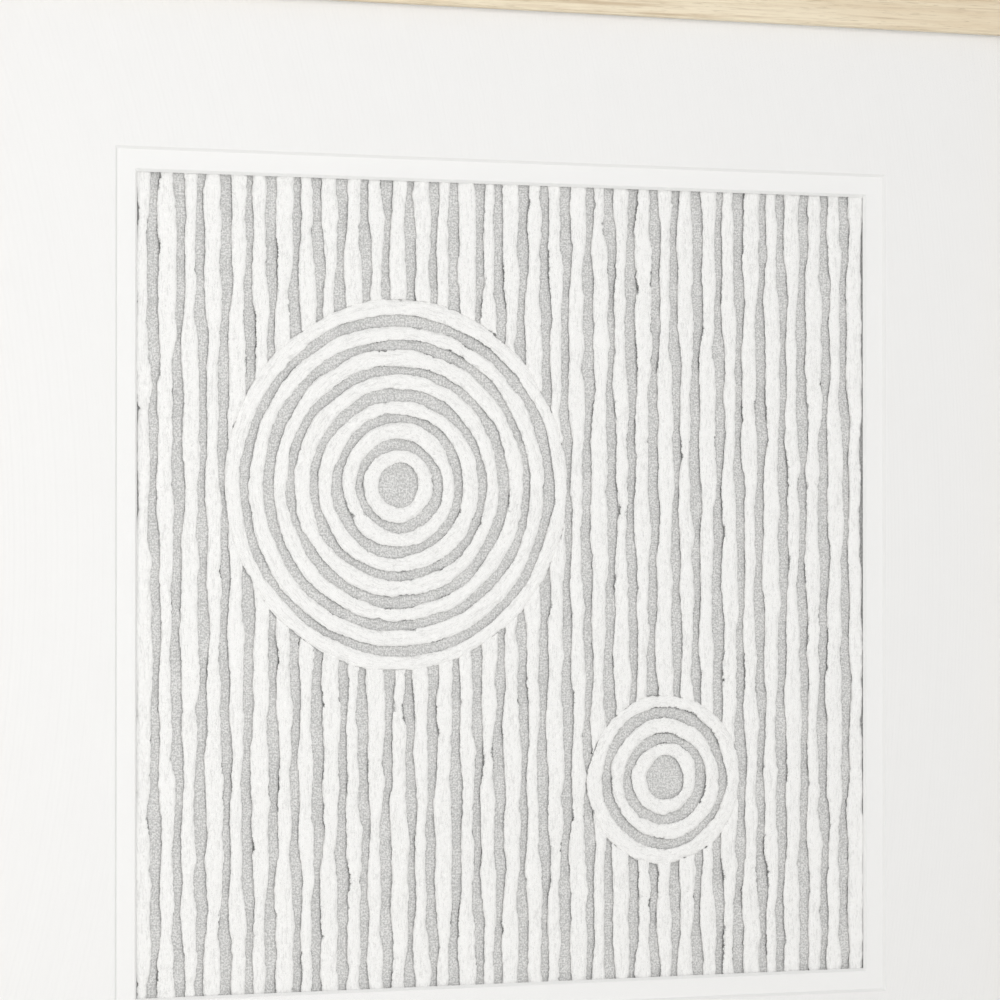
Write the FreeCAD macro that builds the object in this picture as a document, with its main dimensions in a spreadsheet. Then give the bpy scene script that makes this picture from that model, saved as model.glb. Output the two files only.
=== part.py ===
import FreeCAD, Part
import math
import os
import re
import Sketcher
from FreeCAD import Placement, Rotation, Vector

# A square ash frame around a relief of white paper strips on grey linen, behind a double mat.
# Millimetres. X runs to the right, Y into the wall, Z up. The picture faces -Y, the frame stands
# on z = 0, and x = 0 and y = 0 are the middles of its width and of its depth.

doc = FreeCAD.newDocument("framed_paper_relief")
sheet = doc.addObject("Spreadsheet::Sheet", "Sizes")

SIZES = [
    ("overall_width", 610, "outside width of the frame"),
    ("overall_height", 610, "outside height of the frame"),
    ("rail_face", 22, "width of a rail seen from the front"),
    ("rail_depth", 30, "depth of a rail from front to back"),
    ("arris_radius", 1, "rounding of a rail's long edges"),
    ("rebate_width", 6, "how far the rebate goes into a rail"),
    ("lip_thickness", 5, "thickness of the lip in front of the rebate"),
    ("fit_clearance", 0.8, "gap between each sheet's edge and the rebate"),
    ("pane_thickness", 2, "thickness of the clear pane"),
    ("mat_thickness", 1.4, "thickness of a mat, and run of its 45 degree bevel"),
    ("window_width", 394, "width of the inner mat's window"),
    ("window_height", 394, "height of the inner mat's window"),
    ("mat_reveal", 10.5, "band of the inner mat that shows inside the outer one"),
    ("spacer_setback", 8, "how far the spacer stands back from the window"),
    ("strip_clearance", 1, "gap between the strips and the inner mat's back"),
    ("linen_thickness", 0.5, "thickness of the grey linen"),
    ("mount_thickness", 3, "thickness of the board under the linen"),
    ("backing_thickness", 3, "thickness of the backing board"),
    ("strip_count", 33, "number of upright strips"),
    ("strip_width", 7, "mean width of a strip or ring"),
    ("strip_thickness", 2, "height of a strip or ring above the linen"),
    ("strip_overrun", 5, "length of a strip hidden behind the mat at each end"),
    ("least_gap", 0.6, "linen that always shows between two strips"),
    ("wander_share", 0.45, "share of a strip's free play that moves its middle line"),
    ("ring_calm", 0.5, "how much of a strip's free play a ring uses"),
    ("wave_length", 46, "length of one swell along a strip"),
    ("station_step", 12, "distance between two points of a strip's edge"),
    ("first_ring_radius", 14.5, "radius of the smallest ring of a roundel"),
    ("large_ring_count", 7, "rings of the large roundel"),
    ("large_roundel_column", 12, "strip that the large roundel is centred on"),
    ("large_roundel_rise", 48, "height of the large roundel above the window's middle"),
    ("small_ring_count", 3, "rings of the small roundel"),
    ("small_roundel_column", 24, "strip that the small roundel is centred on"),
    ("small_roundel_rise", -98, "height of the small roundel above the window's middle"),
    ("nail_leg", 7, "leg of a corner nail"),
    ("nail_thickness", 0.8, "thickness of a corner nail"),
    ("nail_length", 10, "length of a corner nail into the wood"),
    ("nail_inset", 4.5, "distance of a corner nail from the frame's outside"),
    ("point_width", 6, "width of a retaining point"),
    ("point_thickness", 0.8, "thickness of a retaining point"),
    ("point_grip", 5, "length of a retaining point in the wood"),
    ("point_reach", 8, "length of a retaining point over the backing board"),
    ("point_inset", 109, "distance of a side's outer retaining points from the rebate's corners"),
    ("hanger_inset", 105, "distance of a hanger's middle from the frame's side"),
    ("hanger_length", 46, "length of a sawtooth hanger"),
    ("hanger_height", 10, "height of a sawtooth hanger"),
    ("hanger_drop", 8, "depth of a hanger's middle below the frame's top"),
    ("hanger_metal", 0.8, "thickness of a hanger's sheet steel"),
    ("hanger_rise", 1.6, "room behind a hanger for the head of a wall nail"),
    ("hanger_tab", 9, "length of the flat tab at each end of a hanger"),
    ("tooth_count", 7, "teeth of a hanger"),
    ("tooth_depth", 2.2, "depth of the notches between a hanger's teeth"),
    ("tooth_flat", 0.3, "length by which a notch runs out past a tooth's tip"),
    ("screw_diameter", 2.4, "shank of a hanger screw"),
    ("screw_length", 11, "length of a hanger screw under its head"),
    ("screw_head_diameter", 5, "head of a hanger screw"),
    ("screw_head_height", 1.4, "height of a hanger screw's head"),
    ("recess_length", 2.8, "length of the cross recess in a screw's head"),
    ("recess_width", 0.6, "width of the cross recess in a screw's head"),
    ("recess_depth", 0.7, "depth of the cross recess in a screw's head"),
    ("bumper_diameter", 10, "foot of a wall bumper"),
    ("bumper_top_diameter", 8, "top of a wall bumper"),
    ("bumper_height", 3, "height of a wall bumper"),
    ("bumper_inset", 60, "distance of a wall bumper from the frame's side"),
]

for row, (alias, number, note) in enumerate(SIZES, start=1):
    sheet.set(f"A{row}", alias)
    sheet.set(f"B{row}", str(number))
    sheet.set(f"C{row}", note)
    sheet.setAlias(f"B{row}", alias)
doc.recompute()

ALIASES = {alias for alias, number, note in SIZES}
CUT_MARGIN = 1.0  # how far a cutting shape runs past what it cuts

# Planes of the sheets behind the pane, from front to back.
FRONT = "(0 - (rail_depth + bumper_height) / 2)"
PANE = f"({FRONT} + lip_thickness)"
OUTER_MAT = f"({PANE} + pane_thickness)"
INNER_MAT = f"({OUTER_MAT} + mat_thickness)"
SPACER = f"({INNER_MAT} + mat_thickness)"
LINEN = f"({SPACER} + strip_thickness + strip_clearance)"
MOUNT = f"({LINEN} + linen_thickness)"
BACKING = f"({MOUNT} + mount_thickness)"
POINTS = f"({BACKING} + backing_thickness)"
BACK = f"({FRONT} + rail_depth)"

# Half sizes of the rebated opening, and the height of the picture's middle.
REBATE_X = "(overall_width / 2 - rail_face + rebate_width)"
REBATE_Z = "(overall_height / 2 - rail_face + rebate_width)"
MIDDLE_Z = "(overall_height / 2)"
STRIP_PITCH = "((window_width - strip_width) / (strip_count - 1))"

nodes = []


def bound(formula):
    # The formula with each size written as its cell in the sheet.
    return re.sub(r"[a-z_]+", lambda word: f"Sizes.{word[0]}" if word[0] in ALIASES else word[0], formula)


def value(formula):
    return float(sheet.evalExpression(bound(formula)))


def bind(item, **formulas):
    for name, formula in formulas.items():
        item.setExpression(name.replace("__", "."), bound(formula))
    return item


def place(item, x="0", y="0", z="0", rotation=None):
    if rotation is not None:
        item.Placement = Placement(Vector(0, 0, 0), rotation)
    return bind(item, Placement__Base__x=x, Placement__Base__y=y, Placement__Base__z=z)


def node(item, label):
    item.Label = label
    nodes.append(item)
    return item


def box(name, x, y, z, length, width, height):
    item = doc.addObject("Part::Box", name)
    bind(item, Length=length, Width=width, Height=height)
    return place(item, x, y, z)


def centred_box(name, half_x, y, half_z, width):
    return box(name, f"0 - {half_x}", y, f"{MIDDLE_Z} - {half_z}", f"2 * {half_x}", width, f"2 * {half_z}")


def cut(name, base, tool):
    item = doc.addObject("Part::Cut", name)
    item.Base = base
    item.Tool = tool
    return item


def fuse(name, base, tool):
    item = doc.addObject("Part::Fuse", name)
    item.Base = base
    item.Tool = tool
    return item


def compound(name, items):
    item = doc.addObject("Part::Compound", name)
    item.Links = items
    return item


def sketch(body, name, plane, outlines):
    # Closed outlines of straight lines, each corner held by its two formulas.
    item = body.newObject("Sketcher::SketchObject", name)
    item.AttachmentSupport = [(next(f for f in body.Origin.OriginFeatures if f.Role == plane), "")]
    item.MapMode = "FlatFace"
    for corners in outlines:
        first = item.GeometryCount
        points = [Vector(value(across), value(up), 0) for across, up in corners]
        for start, end in zip(points, points[1:] + points[:1]):
            item.addGeometry(Part.LineSegment(start, end), False)
        for i, (across, up) in enumerate(corners):
            line = first + i
            following = first + (i + 1) % len(corners)
            item.addConstraint(Sketcher.Constraint("Coincident", line, 2, following, 1))
            for kind, formula in (("DistanceX", across), ("DistanceY", up)):
                held = item.addConstraint(Sketcher.Constraint(kind, -1, 1, line, 1, value(formula)))
                item.setExpression(f"Constraints[{held}]", bound(formula))
    return item


def pad(body, name, profile, length):
    item = body.newObject("PartDesign::Pad", name)
    item.Profile = profile
    item.Midplane = True
    bind(item, Length=length)
    doc.recompute()
    return item


def pocket(body, name, profile):
    # Cuts right through the body, to both sides of the sketch.
    before = body.Shape.Volume
    item = body.newObject("PartDesign::Pocket", name)
    item.Profile = profile
    item.Type = "ThroughAll"
    item.Midplane = True
    doc.recompute()
    if not body.Shape.Volume < before:
        raise RuntimeError(f"{name} cuts nothing")
    return item


# Corner nails, flush with the back: an L whose legs run into the two rails that meet.

def corner_nail(name, side, level):
    outer_x = f"({side} * (overall_width / 2 - nail_inset))"
    outer_z = f"({MIDDLE_Z} + {level} * (overall_height / 2 - nail_inset))"
    start_x = f"({outer_x} - nail_leg)" if side > 0 else outer_x
    start_z = f"({outer_z} - nail_leg)" if level > 0 else outer_z
    flat_x = f"({outer_x} - nail_thickness)" if side > 0 else outer_x
    flat_z = f"({outer_z} - nail_thickness)" if level > 0 else outer_z
    top = f"({BACK} - nail_length)"
    along_x = box(f"{name}_leg_x", start_x, top, flat_z, "nail_leg", "nail_length", "nail_thickness")
    along_z = box(f"{name}_leg_z", flat_x, top, start_z, "nail_thickness", "nail_length", "nail_leg")
    return fuse(name, along_x, along_z)


corner_nails = node(
    compound(
        "corner_nails_group",
        [
            corner_nail(f"nail_{n}", side, level)
            for n, (side, level) in enumerate([(-1, -1), (1, -1), (-1, 1), (1, 1)])
        ],
    ),
    "corner_nails",
)

# Retaining points: steel tabs in slots of the rebate's wall, over the backing board.

def upright_point(name, level, shift):
    # In the top or the bottom rail.
    wall = f"({MIDDLE_Z} + {level} * {REBATE_Z})"
    low = f"({wall} - point_reach)" if level > 0 else f"({wall} - point_grip)"
    left = f"({shift} * ({REBATE_X} - point_inset) - point_width / 2)"
    return box(name, left, POINTS, low, "point_width", "point_thickness", "point_reach + point_grip")


def level_point(name, side, shift):
    # In the left or the right rail.
    wall = f"({side} * {REBATE_X})"
    left = f"({wall} - point_reach)" if side > 0 else f"({wall} - point_grip)"
    low = f"({MIDDLE_Z} + {shift} * ({REBATE_Z} - point_inset) - point_width / 2)"
    return box(name, left, POINTS, low, "point_reach + point_grip", "point_thickness", "point_width")


points = []
for shift in (-1, 0, 1):
    for way in (-1, 1):
        points.append(upright_point(f"point_{len(points)}", way, shift))
        points.append(level_point(f"point_{len(points)}", way, shift))
retaining_points = node(compound("retaining_points_group", points), "retaining_points")

# Sawtooth hangers on the top rail's back: two tabs and a raised bridge with teeth below.

HANGER_X = "(overall_width / 2 - hanger_inset)"
HANGER_Z = "(overall_height - hanger_drop)"
BRIDGE_HALF = "(hanger_length / 2 - hanger_tab)"
TOOTH_PITCH = f"(2 * {BRIDGE_HALF} / tooth_count)"
SCREW_OFFSET = "(hanger_length / 2 - hanger_tab / 2)"


def hanger(label, side):
    body = doc.addObject("PartDesign::Body", f"{label}_body")
    end, bridge = "hanger_length / 2", BRIDGE_HALF
    top = "(hanger_rise + hanger_metal)"
    shoulder = f"({bridge} + hanger_metal)"
    right = [
        (bridge, "hanger_rise"),
        (bridge, "0"),
        (end, "0"),
        (end, "hanger_metal"),
        (shoulder, "hanger_metal"),
        (shoulder, top),
    ]
    left = [(f"0 - {across}", up) for across, up in reversed(right)]
    strip = sketch(body, f"{label}_section", "XY_Plane", [right + left])
    pad(body, f"{label}_plate", strip, "hanger_height")

    tip = "(0 - hanger_height / 2 - tooth_flat)"
    notches = []
    for n in range(int(value("tooth_count"))):
        start = f"({n} * {TOOTH_PITCH} - {bridge})"
        root = "(0 - hanger_height / 2 + tooth_depth)"
        notches.append([(start, tip), (f"{start} + {TOOTH_PITCH} / 2", root), (f"{start} + {TOOTH_PITCH}", tip)])
    pocket(body, f"{label}_teeth", sketch(body, f"{label}_notches", "XZ_Plane", notches))
    return place(body, f"{side} * {HANGER_X}", BACK, HANGER_Z)


# Screws through the hangers' tabs, each with a pan head and a cross recess.

ALONG_Y = Rotation(Vector(1, 0, 0), -90)


def hanger_screw(name, x):
    seat = f"({BACK} + hanger_metal)"
    shank = doc.addObject("Part::Cylinder", f"{name}_shank")
    bind(shank, Radius="screw_diameter / 2", Height="screw_length")
    place(shank, x, f"{seat} - screw_length", HANGER_Z, ALONG_Y)
    head = doc.addObject("Part::Cylinder", f"{name}_head")
    bind(head, Radius="screw_head_diameter / 2", Height="screw_head_height")
    place(head, x, seat, HANGER_Z, ALONG_Y)
    floor = f"({seat} + screw_head_height - recess_depth)"
    half_length, half_width = "recess_length / 2", "recess_width / 2"
    wide = box(
        f"{name}_recess_wide", f"{x} - {half_length}", floor, f"{HANGER_Z} - {half_width}",
        "recess_length", "recess_depth", "recess_width",
    )
    tall = box(
        f"{name}_recess_tall", f"{x} - {half_width}", floor, f"{HANGER_Z} - {half_length}",
        "recess_width", "recess_depth", "recess_length",
    )
    solid = fuse(f"{name}_solid", shank, head)
    return cut(name, solid, fuse(f"{name}_recess", wide, tall))


screws = []
for side in (-1, 1):
    for tab in (-1, 1):
        x = f"({side} * {HANGER_X} + {tab} * {SCREW_OFFSET})"
        screws.append(hanger_screw(f"screw_{len(screws)}", x))
hanger_screws = node(compound("hanger_screws_group", screws), "hanger_screws")

node(cut("hanger_left_drilled", hanger("hanger_left", -1), hanger_screws), "hanger_left")
node(cut("hanger_right_drilled", hanger("hanger_right", 1), hanger_screws), "hanger_right")

# Rails: a rebated section with rounded long edges, mitred at both ends. Each is drawn with its
# sight edge on z = 0 and its front on y = 0, and is then turned about Y to its side.

fixings = compound("fixings", [corner_nails, retaining_points, hanger_screws])


def rail(label, length, x, z, turn):
    body = doc.addObject("PartDesign::Body", f"{label}_body")
    section = [
        ("0", "0"),
        ("lip_thickness", "0"),
        ("lip_thickness", "rebate_width"),
        ("rail_depth", "rebate_width"),
        ("rail_depth", "rail_face"),
        ("0", "rail_face"),
    ]
    bar = pad(body, f"{label}_bar", sketch(body, f"{label}_section", "YZ_Plane", [section]), length)

    rounded = [(0, 0), (0, value("rail_face")), (value("rail_depth"), value("rail_face"))]
    edges = []
    for n, edge in enumerate(bar.Shape.Edges, start=1):
        middle = edge.CenterOfMass
        lies_on = [math.hypot(middle.y - y, middle.z - up) < Part.Precision.confusion() for y, up in rounded]
        if any(lies_on) and abs(middle.x) < Part.Precision.confusion():
            edges.append(f"Edge{n}")
    fillet = body.newObject("PartDesign::Fillet", f"{label}_arris")
    fillet.Base = (bar, edges)
    bind(fillet, Radius="arris_radius")
    doc.recompute()

    inner = f"({length} / 2 - rail_face - {CUT_MARGIN})"
    outer = f"({length} / 2 + {CUT_MARGIN})"
    far = f"(rail_face + {CUT_MARGIN})"
    near = f"(0 - {CUT_MARGIN})"
    mitres = [
        [(f"{way} * {inner}", near), (f"{way} * {outer}", near), (f"{way} * {outer}", far)]
        for way in (-1, 1)
    ]
    pocket(body, f"{label}_mitres", sketch(body, f"{label}_ends", "XZ_Plane", mitres))
    place(body, x, FRONT, z, Rotation(Vector(0, 1, 0), turn))
    return node(cut(f"{label}_slotted", body, fixings), label)


SIGHT_X = "(overall_width / 2 - rail_face)"
rail("rail_top", "overall_width", "0", "overall_height - rail_face", 0)
rail("rail_bottom", "overall_width", "0", "rail_face", 180)
rail("rail_left", "overall_height", f"0 - {SIGHT_X}", MIDDLE_Z, -90)
rail("rail_right", "overall_height", SIGHT_X, MIDDLE_Z, 90)

# Wall bumpers on the bottom rail's back.

def bumper(name, side):
    item = doc.addObject("Part::Cone", name)
    bind(item, Radius1="bumper_diameter / 2", Radius2="bumper_top_diameter / 2", Height="bumper_height")
    x = f"{side} * (overall_width / 2 - bumper_inset)"
    return place(item, x, BACK, "(rail_face - rebate_width) / 2", ALONG_Y)


node(compound("wall_bumpers_group", [bumper("bumper_0", -1), bumper("bumper_1", 1)]), "wall_bumpers")

# Sheets in the rebate: pane, two mats with bevelled windows, spacer, linen and two boards.

SHEET_X = f"({REBATE_X} - fit_clearance)"
SHEET_Z = f"({REBATE_Z} - fit_clearance)"


def sheet_of(name, y, thickness):
    return centred_box(name, SHEET_X, y, SHEET_Z, thickness)


def mat(label, y, half_x, half_z):
    # The window is narrowest at the mat's back.
    window = doc.addObject("Part::Wedge", f"{label}_window")
    wide_x, wide_z = f"({half_x} + mat_thickness)", f"({half_z} + mat_thickness)"
    bind(window, Ymin="0", Xmin=f"0 - {wide_x}", Xmax=wide_x, Zmin=f"0 - {wide_z}", Zmax=wide_z)
    bind(window, Ymax="mat_thickness", X2min=f"0 - {half_x}", X2max=half_x, Z2min=f"0 - {half_z}", Z2max=half_z)
    place(window, "0", y, MIDDLE_Z)
    return node(cut(f"{label}_cut", sheet_of(f"{label}_sheet", y, "mat_thickness"), window), label)


node(sheet_of("pane", PANE, "pane_thickness"), "glazing_pane")
mat("outer_mat", OUTER_MAT, "(window_width / 2 + mat_reveal)", "(window_height / 2 + mat_reveal)")
mat("inner_mat", INNER_MAT, "(window_width / 2)", "(window_height / 2)")

spacer_depth = "(strip_thickness + strip_clearance)"
spacer_hole = centred_box(
    "spacer_hole", "(window_width / 2 + spacer_setback)", SPACER,
    "(window_height / 2 + spacer_setback)", spacer_depth,
)
node(cut("spacer", sheet_of("spacer_sheet", SPACER, spacer_depth), spacer_hole), "spacer_frame")
node(sheet_of("linen", LINEN, "linen_thickness"), "linen_ground")
node(sheet_of("mount", MOUNT, "mount_thickness"), "mount_board")
node(sheet_of("backing", BACKING, "backing_thickness"), "backing_board")

# The relief: torn paper strips and rings, all glued to the linen. Their edges swell and wander,
# so that each is a prism on an outline that a sum of waves draws.

GOLDEN_ANGLE = math.pi * (3 - math.sqrt(5))
WAVES = [(0.12, 0.3), (0.37, 0.3), (1, 0.25), (1.7, 0.15)]  # turns of each in a wave length, weight
STEEPNESS = 2  # pushes the sum of the waves towards its two ends

pitch = value(STRIP_PITCH)
strip_width = value("strip_width")
wave_length = value("wave_length")
linen_face = value(LINEN)
middle_z = value(MIDDLE_Z)
play = (pitch - strip_width - value("least_gap")) / 2
wander = play * value("wander_share")
swing = play - wander


def swell(turns, seed, whole=False):
    # A sum of waves between -1 and 1, after so many wave lengths. On a ring, where whole is the
    # ring's length in wave lengths, each wave closes on itself.
    total = 0
    for n, (rate, weight) in enumerate(WAVES):
        if whole:
            rate = max(1 + n, round(rate * whole)) / whole
        total += weight * math.sin(2 * math.pi * rate * turns + GOLDEN_ANGLE * (seed + 1) * (n + 1) ** 2)
    return math.tanh(STEEPNESS * total) / math.tanh(STEEPNESS)


def prism(corners):
    # A plate on the linen, as high as the strips, over corners given across and up.
    y = linen_face - value("strip_thickness")
    points = [Vector(x, y, z) for x, z in corners]
    face = Part.Face(Part.makePolygon(points + points[:1]))
    return face.extrude(Vector(0, value("strip_thickness"), 0))


def ring_edge(column, rise, radius, side, seed):
    # The inner (side -1) or outer (side 1) edge of a ring, with more points on a larger one.
    count = 8 * round(2 + radius / pitch)
    calm = value("ring_calm")
    whole = 2 * math.pi * radius / wave_length
    corners = []
    for n in range(count):
        angle = 2 * math.pi * n / count
        turns = whole * n / count
        half = strip_width / 2 + calm * swing * swell(turns, seed, whole)
        reach = radius + side * half + calm * wander * swell(turns, seed + 0.5, whole)
        corners.append((column + reach * math.cos(angle), middle_z + rise + reach * math.sin(angle)))
    return corners


def roundel(label, first_seed):
    # Rings one pitch apart around a strip's middle line. Gives the outline that stops the strips.
    column = (value(f"{label}_roundel_column") - (value("strip_count") + 1) / 2) * pitch
    rise = value(f"{label}_roundel_rise")
    for n in range(int(value(f"{label}_ring_count"))):
        radius = value("first_ring_radius") + n * pitch
        outer = prism(ring_edge(column, rise, radius, 1, first_seed + n))
        ring = doc.addObject("Part::Feature", f"{label}_ring_{n + 1}")
        ring.Shape = outer.cut(prism(ring_edge(column, rise, radius, -1, first_seed + n)))
        node(ring, f"{label}_ring_{n + 1}")
    return outer


def strip(number):
    column = (number - (value("strip_count") + 1) / 2) * pitch
    half_length = value("window_height") / 2 + value("strip_overrun")
    count = round(2 * half_length / value("station_step"))
    left, right = [], []
    for n in range(count + 1):
        along = 2 * half_length * n / count
        turns = along / wave_length
        middle = column + wander * swell(turns, number)
        half = strip_width / 2 + swing * swell(turns, number + 0.5)
        left.append((middle - half, middle_z - half_length + along))
        right.append((middle + half, middle_z - half_length + along))
    return prism(left + right[::-1])


roundels = [roundel("large", 100), roundel("small", 200)]
for number in range(1, int(value("strip_count")) + 1):
    item = doc.addObject("Part::Feature", f"strip_{number:02d}")
    item.Shape = strip(number).cut(roundels)
    node(item, f"strip_{number:02d}")

# Check and write each piece.

doc.recompute()
for item in doc.Objects:
    if "Invalid" in item.State or "Error" in item.State:
        raise RuntimeError(f"{item.Name} did not compute: {item.State}")
os.makedirs("parts", exist_ok=True)
for item in nodes:
    shape = item.Shape
    if shape.isNull() or not shape.isValid() or not shape.Solids:
        raise RuntimeError(f"{item.Label} has no sound solid")
    shape.exportStep(f"parts/{item.Label}.step")
print(f"{len(nodes)} nodes, {sum(len(item.Shape.Solids) for item in nodes)} solids")
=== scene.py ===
import bpy
import bmesh
import math
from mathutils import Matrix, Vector


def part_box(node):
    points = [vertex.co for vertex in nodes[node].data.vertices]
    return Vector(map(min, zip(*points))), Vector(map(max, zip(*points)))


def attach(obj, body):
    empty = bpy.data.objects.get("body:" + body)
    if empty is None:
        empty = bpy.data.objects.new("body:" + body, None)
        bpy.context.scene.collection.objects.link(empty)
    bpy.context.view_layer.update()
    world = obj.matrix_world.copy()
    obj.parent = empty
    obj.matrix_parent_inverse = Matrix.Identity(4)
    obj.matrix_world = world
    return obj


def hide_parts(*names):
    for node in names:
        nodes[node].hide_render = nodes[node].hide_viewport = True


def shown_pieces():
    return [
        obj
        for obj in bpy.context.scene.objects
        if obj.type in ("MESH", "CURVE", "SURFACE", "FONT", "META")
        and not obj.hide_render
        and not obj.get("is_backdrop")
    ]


# Looks for the framed paper relief: the pale ash frame, two bevelled mats, grey linen and torn
# white paper strips. Metres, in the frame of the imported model: X right, Y into the wall, Z up.

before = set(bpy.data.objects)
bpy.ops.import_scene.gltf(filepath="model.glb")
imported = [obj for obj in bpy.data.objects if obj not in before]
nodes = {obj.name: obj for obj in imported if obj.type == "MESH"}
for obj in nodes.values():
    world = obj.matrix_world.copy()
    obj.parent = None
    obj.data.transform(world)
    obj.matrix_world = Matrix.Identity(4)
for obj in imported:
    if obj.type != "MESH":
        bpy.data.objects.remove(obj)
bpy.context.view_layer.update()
mergeReach = 0.000002
print("loaded", len(nodes), "nodes")


# Helpers for modelling.

def deselectAll():
    if bpy.context.object and bpy.context.object.mode != "OBJECT":
        bpy.ops.object.mode_set(mode="OBJECT")
    bpy.ops.object.select_all(action="DESELECT")


def pick(piece):
    deselectAll()
    piece.select_set(True)
    bpy.context.view_layer.objects.active = piece


def copyOf(nodeName, name):
    # A copy of a CAD node's mesh, its corners merged.
    piece = bpy.data.objects.new(name, nodes[nodeName].data.copy())
    bpy.context.scene.collection.objects.link(piece)
    piece.data.materials.clear()
    pick(piece)
    bpy.ops.object.mode_set(mode="EDIT")
    bpy.ops.mesh.select_all(action="SELECT")
    bpy.ops.mesh.remove_doubles(threshold=mergeReach)
    bpy.ops.object.mode_set(mode="OBJECT")
    return piece


def selectFaces(piece, wanted):
    # Leaves the piece in edit mode with the faces selected that wanted(normal) picks.
    bpy.ops.object.mode_set(mode="EDIT")
    bpy.ops.mesh.select_mode(type="FACE")
    bpy.ops.mesh.select_all(action="DESELECT")
    shape = bmesh.from_edit_mesh(piece.data)
    for face in shape.faces:
        face.select_set(wanted(face.normal))
    bmesh.update_edit_mesh(piece.data)


def applyAll(piece):
    pick(piece)
    for modifier in list(piece.modifiers):
        bpy.ops.object.modifier_apply(modifier=modifier.name)


def dress(piece, finish):
    piece.data.materials.clear()
    piece.data.materials.append(finish)


def handIn(piece, finish, slot, *stoodFor):
    dress(piece, finish)
    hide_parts(*stoodFor)
    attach(piece, "root")


# Helpers for materials.

class Signal:
    # An output of a material's node. Sums on it add Math nodes.
    def __init__(self, finish, socket):
        self.finish = finish
        self.socket = socket

    def __add__(self, other):
        return self.finish.maths("ADD", self, other)

    __radd__ = __add__

    def __sub__(self, other):
        return self.finish.maths("SUBTRACT", self, other)

    def __mul__(self, other):
        return self.finish.maths("MULTIPLY", self, other)

    __rmul__ = __mul__

    def __abs__(self):
        return self.finish.maths("ABSOLUTE", self)


class Finish:
    # A material under construction.
    def __init__(self, name):
        self.material = bpy.data.materials.new(name)
        self.material.use_nodes = True
        self.tree = self.material.node_tree
        self.tree.nodes.clear()
        self.place = self.node("TexCoord", out="Object")

    def node(self, kind, settings=None, sockets=None, out=0):
        # Adds a node: its settings first, then the values or links of its sockets.
        made = self.tree.nodes.new("ShaderNode" + kind)
        for name, setting in (settings or {}).items():
            setattr(made, name, setting)
        for name, given in (sockets or {}).items():
            if isinstance(given, Signal):
                self.tree.links.new(given.socket, made.inputs[name])
            else:
                made.inputs[name].default_value = given
        return Signal(self, made.outputs[out]) if made.outputs else None

    def maths(self, operation, *values):
        return self.node("Math", {"operation": operation}, dict(enumerate(values)))

    def along(self, axis):
        return self.node("SeparateXYZ", {}, {0: self.place}, axis)

    def stretched(self, x, y, z):
        # Object coordinates times so much on each axis.
        return self.node("VectorMath", {"operation": "MULTIPLY"}, {0: self.place, 1: (x, y, z)})

    def noise(self, vector, scale, detail=2.0, roughness=0.5):
        sockets = {"Vector": vector, "Scale": scale, "Detail": detail, "Roughness": roughness}
        return self.node("TexNoise", {}, sockets)

    def ranged(self, value, low, high, newLow=0.0, newHigh=1.0):
        # From low..high to newLow..newHigh, held within them.
        sockets = {0: value, 1: low, 2: high, 3: newLow, 4: newHigh}
        return self.node("MapRange", {"clamp": True, "interpolation_type": "SMOOTHSTEP"}, sockets)

    def blend(self, share, first, second):
        # Colours: first at a share of 0, second at 1.
        sockets = {0: share, 6: first, 7: second}
        return self.node("Mix", {"data_type": "RGBA"}, sockets, 2)

    def bump(self, height, distance, strength=1.0):
        return self.node("Bump", {}, {"Height": height, "Distance": distance, "Strength": strength})

    def done(self, **sockets):
        # Writes the surface from the short names of its sockets.
        names = {
            "colour": "Base Color", "roughness": "Roughness", "metallic": "Metallic", "normal": "Normal",
            "specular": "Specular IOR Level", "alpha": "Alpha", "ior": "IOR",
        }
        shader = self.node("BsdfPrincipled", {}, {names[name]: given for name, given in sockets.items()})
        self.node("OutputMaterial", {}, {"Surface": shader})
        return self.material


# Camera.

camera = {
    "target": (-0.006943, -0.0067, 0.346211),
    "yaw": 24.492,
    "pitch": 0.630,
    "distance": 2.28415,
    "lens": 166.72,
    "sensor": 36,
    "near": 0.05,
    "far": 50,
}

yaw, pitch = math.radians(camera["yaw"]), math.radians(camera["pitch"])
look = Vector((math.sin(yaw) * math.cos(pitch), math.cos(yaw) * math.cos(pitch), math.sin(pitch)))
bpy.ops.object.camera_add(location=Vector(camera["target"]) - look * camera["distance"])
eye = bpy.context.object
eye.name = "camera"
eye.rotation_euler = look.to_track_quat("-Z", "Y").to_euler()
eye.data.lens = camera["lens"]
eye.data.sensor_width = camera["sensor"]
eye.data.clip_start = camera["near"]
eye.data.clip_end = camera["far"]
bpy.context.scene.camera = eye
bpy.context.scene.view_settings.view_transform = "Standard"
print("camera placed")

# Light, floor and background.

studio = {
    "worldStrength": 0.52,
    "lamps": {
        "sideLamp": {
            "place": (-0.8, -1.25, 0.2), "aim": (-0.1, 0.0, 0.2),
            "size": 0.5, "power": 5.4,
        },
        "frontLamp": {
            "place": (0.0, -2.6, 0.9), "aim": (0.0, 0.0, 0.3),
            "size": 1.0, "power": 18,
        },
        "backLamp": {
            "place": (0.6, 3.0, 1.6), "aim": (0.0, 0.0, 0.3),
            "size": 1.6, "power": 38,
        },
    },
    "floorRadius": 6,
    "floorCorners": 96,
    "floorRoughness": 0.8,
    "floorColours": ((0.80, 0.80, 0.79, 1), (0.82, 0.82, 0.81, 1)),
}

world = bpy.data.worlds.new("studio")
bpy.context.scene.world = world
world.use_nodes = True
worldNodes, worldLinks = world.node_tree.nodes, world.node_tree.links
worldNodes.clear()


def larger(first, second):
    node = worldNodes.new("ShaderNodeMath")
    node.operation = "MAXIMUM"
    worldLinks.new(first, node.inputs[0])
    worldLinks.new(second, node.inputs[1])
    return node.outputs[0]


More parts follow.
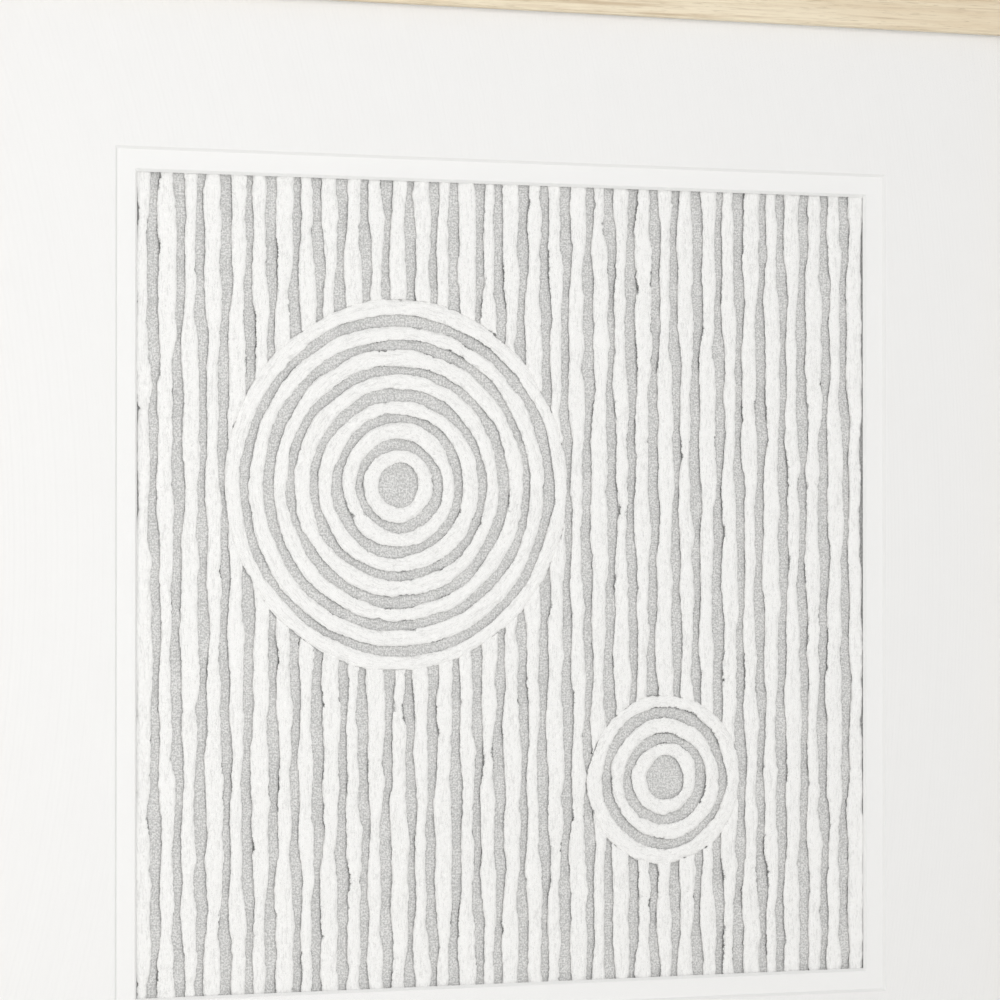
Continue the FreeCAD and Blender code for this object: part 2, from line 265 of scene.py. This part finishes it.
def whiteLight(strength):
    node = worldNodes.new("ShaderNodeBackground")
    node.inputs["Color"].default_value = (1, 1, 1, 1)
    node.inputs["Strength"].default_value = strength
    return node.outputs[0]


# White where the camera and mirrors look, and softer as light.
rays = worldNodes.new("ShaderNodeLightPath").outputs
seen = larger(larger(rays["Is Camera Ray"], rays["Is Transmission Ray"]), rays["Is Glossy Ray"])
either = worldNodes.new("ShaderNodeMixShader")
worldLinks.new(seen, either.inputs[0])
worldLinks.new(whiteLight(studio["worldStrength"]), either.inputs[1])
worldLinks.new(whiteLight(1), either.inputs[2])
worldOut = worldNodes.new("ShaderNodeOutputWorld")
worldLinks.new(either.outputs[0], worldOut.inputs["Surface"])

for name, lamp in studio["lamps"].items():
    bpy.ops.object.light_add(type="AREA", location=lamp["place"])
    light = bpy.context.object
    light.name = name
    beam = Vector(lamp["aim"]) - Vector(lamp["place"])
    light.rotation_euler = beam.to_track_quat("-Z", "Y").to_euler()
    light.data.shape = "SQUARE"
    light.data.size = lamp["size"]
    light.data.energy = lamp["power"]
    light.visible_camera = False

deselectAll()
bpy.ops.mesh.primitive_circle_add(
    vertices=studio["floorCorners"], radius=studio["floorRadius"], fill_type="NGON", location=(0, 0, 0),
)
floor = bpy.context.object
floor.name = "floor"
floorFinish = Finish("paleFloor")
grain = floorFinish.noise(floorFinish.place, 3.0, 3.0)
floorColour = floorFinish.blend(grain, *studio["floorColours"])
dress(floor, floorFinish.done(colour=floorColour, roughness=studio["floorRoughness"]))
floor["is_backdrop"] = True
print("studio set")

# Ash rails.

ash = {
    "pale": (0.870, 0.765, 0.580, 1),
    "warm": (0.760, 0.630, 0.450, 1),
    "streak": (0.580, 0.450, 0.300, 1),
    "pore": (0.450, 0.340, 0.220, 1),
    "roughness": 0.55,
    "bands": (3.5, 90),
    "figure": (9, 330),
    "fibres": (45, 1500),
    "pores": (110, 3800),
    "grainDepth": 0.00012,
}


def ashFinish(name, grainAxis):
    # Straight grain along one axis, with drifting bands, thin streaks and short pores. Each has
    # its pitch along and across the grain, in waves a metre.
    wood = Finish(name)

    def grained(layer, detail, roughness):
        along, across = ash[layer]
        scales = [along if axis == grainAxis else across for axis in range(3)]
        return wood.noise(wood.stretched(*scales), 1.0, detail, roughness)

    bands = grained("bands", 3.0, 0.55)
    figure = grained("figure", 4.0, 0.6)
    fibres = grained("fibres", 3.0, 0.6)
    pores = grained("pores", 2.0, 0.5)
    body = wood.blend(wood.ranged(bands, 0.36, 0.62), ash["pale"], ash["warm"])
    streaked = wood.blend(wood.ranged(figure, 0.52, 0.72) * 0.8, body, ash["streak"])
    fine = wood.blend(wood.ranged(fibres, 0.45, 0.75) * 0.4, streaked, ash["streak"])
    colour = wood.blend(wood.ranged(pores, 0.64, 0.72) * 0.55, fine, ash["pore"])
    height = 0.6 * fibres - wood.ranged(pores, 0.62, 0.72)
    rough = ash["roughness"] + 0.15 * figure
    normal = wood.bump(height, ash["grainDepth"], 0.6)
    return wood.done(colour=colour, roughness=rough, normal=normal, specular=0.35)


ashLevel = ashFinish("ashLevel", 0)
ashUpright = ashFinish("ashUpright", 2)
dress(nodes["rail_top"], ashLevel)
dress(nodes["rail_bottom"], ashLevel)
dress(nodes["rail_left"], ashUpright)
dress(nodes["rail_right"], ashUpright)
print("rails dressed")

# Mats.

card = {
    "face": (0.884, 0.876, 0.864, 1),
    "shade": (0.878, 0.870, 0.858, 1),
    # The bevel colour is darker than the face, which paints shade onto the bevels.
    "coreWithShade": (0.83, 0.825, 0.812, 1),
    "tooth": 1400,
    "clouds": 60,
}


def cardFinish(name):
    paper = Finish(name)
    tooth = paper.noise(paper.place, card["tooth"], 1.0, 0.6)
    cloudy = paper.noise(paper.place, card["clouds"], 2.0, 0.5)
    share = paper.ranged(0.6 * cloudy + 0.4 * tooth, 0.35, 0.65)
    face = paper.blend(share, card["shade"], card["face"])
    # The bevel shows the card's core, set darker than the face as painted shade: there the normal leans away
    # from the front.
    facing = paper.node("SeparateXYZ", {}, {0: paper.node("NewGeometry", out="True Normal")}, 1)
    bevel = paper.ranged(facing, -0.95, -0.80)
    colour = paper.blend(bevel, face, card["coreWithShade"])
    return paper.done(colour=colour, roughness=0.85 + 0.1 * tooth, specular=0.2)


matCard = cardFinish("matCard")
dress(nodes["outer_mat"], matCard)
dress(nodes["inner_mat"], matCard)
print("mats dressed")

# Clear pane.

pane = {"colour": (0.93, 0.95, 0.94, 1), "alpha": 0.05, "ior": 1.49, "smears": 14}

clear = Finish("clearPane")
smears = clear.noise(clear.place, pane["smears"], 3.0, 0.6)
dress(nodes["glazing_pane"], clear.done(
    colour=pane["colour"], roughness=0.04 + 0.05 * smears, alpha=pane["alpha"], specular=0.5, ior=pane["ior"],
))
# Light passes the thin pane unhindered; only the camera and mirrors meet it.
nodes["glazing_pane"].visible_shadow = False
nodes["glazing_pane"].visible_diffuse = False
print("pane dressed")

# Linen.

linen = {
    "ribPitch": 0.00118,
    "threadPitch": 0.00093,
    "light": (0.785, 0.777, 0.763, 1),
    "dark": (0.465, 0.460, 0.451, 1),
    "unevenness": 0.00010,
    "gridStep": 0.006,
    "swell": 0.018,
    "wobble": 0.0011,
    "relief": 0.0003,
}


def linenFinish():
    # Level ribs that come and go, thinner upright threads, and the flecks of uneven yarn.
    cloth = Finish("greyLinen")
    wobble = cloth.noise(cloth.place, 160, 1.0)
    x = cloth.along(0) + linen["wobble"] * wobble
    z = cloth.along(2) + linen["wobble"] * wobble
    ribs = abs(cloth.maths("SINE", z * (math.pi / linen["ribPitch"])))
    threads = abs(cloth.maths("SINE", x * (math.pi / linen["threadPitch"])))
    come = cloth.ranged(cloth.noise(cloth.place, 90, 0.0), 0.35, 0.65, 0.2, 1.0)
    slub = cloth.noise(cloth.stretched(0.55, 1.0, 1.0), 1000, 1.0, 0.6)
    fleck = cloth.noise(cloth.place, 1100, 1.0, 0.75)
    weave = 0.07 * ribs * come + 0.07 * threads + 0.40 * slub + 1.2 * fleck
    colour = cloth.blend(cloth.ranged(weave, 0.69, 1.08), linen["dark"], linen["light"])
    height = 0.3 * ribs + 0.25 * threads + 0.8 * fleck
    normal = cloth.bump(height, linen["relief"], 0.7)
    return cloth.done(colour=colour, roughness=0.92, normal=normal, specular=0.15)


def makeLinen():
    # A grid as thick as the CAD sheet, its front very slightly uneven.
    low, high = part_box("linen_ground")
    middle = (low + high) / 2
    size = high - low
    deselectAll()
    steps = round(size.x / linen["gridStep"])
    bpy.ops.mesh.primitive_grid_add(
        x_subdivisions=steps, y_subdivisions=steps, size=1,
        location=(middle.x, high.y, middle.z), rotation=(math.radians(90), 0, 0),
    )
    cloth = bpy.context.object
    cloth.name = "linen_cloth"
    cloth.scale = (size.x, size.z, 1)
    bpy.ops.object.transform_apply(location=True, rotation=True, scale=True)
    thick = cloth.modifiers.new("thickness", "SOLIDIFY")
    thick.thickness = size.y - linen["unevenness"]
    thick.offset = 1
    applyAll(cloth)
    front = cloth.vertex_groups.new(name="front")
    front.add([v.index for v in cloth.data.vertices if v.co.y < middle.y], 1.0, "REPLACE")
    swell = bpy.data.textures.new("linenSwell", "CLOUDS")
    swell.noise_scale = linen["swell"]
    uneven = cloth.modifiers.new("unevenness", "DISPLACE")
    uneven.texture = swell
    uneven.vertex_group = "front"
    uneven.direction = "Y"
    uneven.mid_level = 0
    uneven.strength = -linen["unevenness"]
    applyAll(cloth)
    bpy.ops.object.shade_smooth_by_angle(angle=math.radians(40))
    handIn(cloth, linenFinish(), "grey_linen", "linen_ground")
    return cloth


linenCloth = makeLinen()
print("linen laid")

# Paper strips and rings.

pulp = {
    "voxel": 0.00066,
    "keptShare": 0.4,
    "underEdge": 0.0008,
    "undercut": 0.0012,
    "crownDrop": 0.0007,
    "crownInset": 0.0016,
    "grow": 0.00025,
    "edgeGrow": {"strip_33": 0.0006},
    "lump": 0.0080,
    "lumpHeight": 0.0018,
    "tuft": 0.0015,
    "tuftHeight": 0.0009,
    "proud": 0.0007,
    "glueHeight": 0.0002,
    "freeHeight": 0.0006,
    "relief": 0.00045,
    "light": (0.925, 0.916, 0.899, 1),
    "shade": (0.765, 0.756, 0.741, 1),
    # Near-black colour for the painted shadow under the lifted edges of the strips.
    "glued": (0.040, 0.039, 0.037, 1),
}


def pulpFinish(name, centre=None):
    # Fibres run up a strip, or round a ring's centre.
    paper = Finish(name)
    if centre is None:
        grain = paper.stretched(1.0, 1.0, 0.14)
    else:
        spoke = paper.node("VectorMath", {"operation": "SUBTRACT"}, {0: paper.place, 1: centre})
        spoke = paper.node("VectorMath", {"operation": "MULTIPLY"}, {0: spoke, 1: (1, 0, 1)})
        reach = paper.node("VectorMath", {"operation": "LENGTH"}, {0: spoke}, 1)
        turn = paper.node("VectorMath", {"operation": "NORMALIZE"}, {0: spoke})
        turn = paper.node("VectorMath", {"operation": "MULTIPLY"}, {0: turn, 1: (0.008, 0, 0.008)})
        away = paper.node("CombineXYZ", {}, {0: 0.0, 1: reach + paper.along(1), 2: 0.0})
        grain = paper.node("VectorMath", {"operation": "ADD"}, {0: turn, 1: away})
    fibre = paper.noise(grain, 1900, 1.0, 0.7)
    strand = paper.noise(grain, 560, 1.0, 0.6)
    crumb = paper.noise(paper.place, 1500, 1.0, 0.75)
    lumps = paper.noise(paper.place, 260, 1.0, 0.6)
    tone = 0.42 * fibre + 0.22 * strand + 0.26 * crumb + 0.10 * lumps
    body = paper.blend(paper.ranged(tone, 0.385, 0.505), pulp["shade"], pulp["light"])
    # Painted shadow darkens the foot, here and there, and rare patches of deeper painted shadow darken most
    # of the edge.
    depth = paper.along(1) + 0.0008 * (crumb - 0.5)
    foot = paper.ranged(depth, -0.0051, -0.0045)
    patchy = paper.ranged(paper.noise(paper.place, 95, 1.0), 0.42, 0.54)
    deepShadow = paper.ranged(depth, -0.0054, -0.0049)
    rare = paper.ranged(paper.noise(paper.stretched(1.0, 1.0, 0.5), 70, 1.0), 0.60, 0.64)
    footShadowed = paper.blend(foot * patchy, body, pulp["glued"])
    colour = paper.blend(deepShadow * rare, footShadowed, pulp["glued"])
    height = 0.5 * fibre + 0.35 * strand + 0.5 * crumb
    normal = paper.bump(height, pulp["relief"])
    return paper.done(colour=colour, roughness=0.95, normal=normal, specular=0.15)


def cloudTexture(name, size):
    texture = bpy.data.textures.new(name, "CLOUDS")
    texture.noise_scale = size
    texture.noise_depth = 2
    return texture


lumpTexture = cloudTexture("pulpLumps", pulp["lump"])
tuftTexture = cloudTexture("pulpTufts", pulp["tuft"])


def stepIn(piece, wanted, shift, inset):
    # Moves the rim of the wanted faces by shift in Y, and leaves their middle where it was.
    selectFaces(piece, wanted)
    bpy.ops.transform.translate(value=(0, shift, 0))
    bpy.ops.mesh.inset(thickness=inset, depth=0, use_even_offset=False)
    bpy.ops.transform.translate(value=(0, -shift, 0))
    bpy.ops.object.mode_set(mode="OBJECT")


def makePulp(nodeName, finish):
    low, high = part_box(nodeName)
    piece = copyOf(nodeName, "paper_" + nodeName)
    # Undercut: the foot is drawn in and the edge lifts off the linen.
    stepIn(piece, lambda normal: normal.y > 0.9, -pulp["underEdge"], pulp["undercut"])
    # Crown: the middle of the front stands above its rim.
    stepIn(piece, lambda normal: normal.y < -0.9, pulp["crownDrop"], pulp["crownInset"])
    piece.data.remesh_voxel_size = pulp["voxel"]
    piece.data.remesh_voxel_adaptivity = 0
    bpy.ops.object.voxel_remesh()

    free = piece.vertex_groups.new(name="free")
    # The foot stays glued, and the paper is free from a little above it.
    glued = high.y - pulp["glueHeight"]
    for vertex in piece.data.vertices:
        lift = (glued - vertex.co.y) / pulp["freeHeight"]
        free.add([vertex.index], max(0.0, min(1.0, lift)), "REPLACE")
    smooth = piece.modifiers.new("smooth", "SMOOTH")
    smooth.factor = 0.5
    smooth.iterations = 2
    smooth.vertex_group = "free"
    grow = pulp["edgeGrow"].get(nodeName, pulp["grow"])
    for texture, height in ((lumpTexture, pulp["lumpHeight"]), (tuftTexture, pulp["tuftHeight"])):
        rough = piece.modifiers.new(texture.name, "DISPLACE")
        rough.texture = texture
        rough.texture_coords = "LOCAL"
        rough.vertex_group = "free"
        rough.strength = height
        rough.mid_level = 0.5 - grow / 2 / height
    applyAll(piece)
    for vertex in piece.data.vertices:
        vertex.co.y = max(vertex.co.y, low.y - pulp["proud"])
    # The underside needs no fine faces.
    selectFaces(piece, lambda normal: normal.y > 0.3)
    bpy.ops.mesh.decimate(ratio=pulp["keptShare"])
    bpy.ops.object.mode_set(mode="OBJECT")
    bpy.ops.object.shade_smooth()
    handIn(piece, finish, "paper_pulp", nodeName)


def middleOf(nodeName):
    low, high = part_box(nodeName)
    return tuple((low + high) / 2)


pulpStraight = pulpFinish("pulpStraight")
pulpLarge = pulpFinish("pulpLargeRings", middleOf("large_ring_7"))
pulpSmall = pulpFinish("pulpSmallRings", middleOf("small_ring_3"))
finishes = {"strip": pulpStraight, "large": pulpLarge, "small": pulpSmall}
for nodeName in sorted(nodes):
    family = nodeName.split("_")[0]
    if family in finishes:
        makePulp(nodeName, finishes[family])
print("paper strips and rings made")

# Fittings and boards.

fittings = {
    "zincSteel": {
        "light": (0.68, 0.68, 0.66, 1), "dark": (0.50, 0.50, 0.49, 1),
        "scale": 900, "roughness": 0.34, "metallic": 1.0, "grain": (0.1, 1, 1),
        "wornBy": ("hanger_left", "hanger_right", "hanger_screws", "corner_nails"),
    },
    "blackenedSteel": {
        "light": (0.10, 0.10, 0.10, 1), "dark": (0.05, 0.05, 0.05, 1),
        "scale": 700, "roughness": 0.42, "metallic": 0.8, "wornBy": ("retaining_points",),
    },
    "softRubber": {
        "light": (0.27, 0.27, 0.27, 1), "dark": (0.20, 0.20, 0.20, 1),
        "scale": 800, "roughness": 0.75, "wornBy": ("wall_bumpers",),
    },
    "spacerFoam": {
        "light": (0.87, 0.87, 0.86, 1), "dark": (0.80, 0.80, 0.79, 1),
        "scale": 600, "roughness": 0.9, "depth": 0.0001, "wornBy": ("spacer_frame",),
    },
    "greyBoard": {
        "light": (0.48, 0.48, 0.47, 1), "dark": (0.40, 0.40, 0.39, 1),
        "scale": 800, "roughness": 0.9, "wornBy": ("mount_board",),
    },
    "hardboard": {
        "light": (0.36, 0.235, 0.135, 1), "dark": (0.28, 0.175, 0.10, 1),
        "scale": 700, "roughness": 0.6, "grain": (1, 1, 0.5), "depth": 0.0001,
        "wornBy": ("backing_board",),
    },
}


def plainFinish(name, look):
    # Two close tones, mixed by fine marks and broad clouds.
    stuff = Finish(name)
    marks = stuff.noise(stuff.stretched(*look.get("grain", (1, 1, 1))), look["scale"], 4.0, 0.65)
    broad = stuff.noise(stuff.place, 35, 2.0)
    share = stuff.ranged(0.6 * marks + 0.4 * broad, 0.35, 0.65)
    return stuff.done(
        colour=stuff.blend(share, look["dark"], look["light"]),
        roughness=look["roughness"] + 0.2 * (marks - 0.5),
        metallic=look.get("metallic", 0.0),
        normal=stuff.bump(marks, look.get("depth", 0.00005), 0.6),
        specular=0.4,
    )


for name, look in fittings.items():
    finish = plainFinish(name, look)
    for nodeName in look["wornBy"]:
        dress(nodes[nodeName], finish)
print("fittings dressed")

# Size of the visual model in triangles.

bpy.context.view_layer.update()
counts = []
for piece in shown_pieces():
    piece.data.calc_loop_triangles()
    counts.append(len(piece.data.loop_triangles))
print("triangles shown", sum(counts), "most in one piece", max(counts))
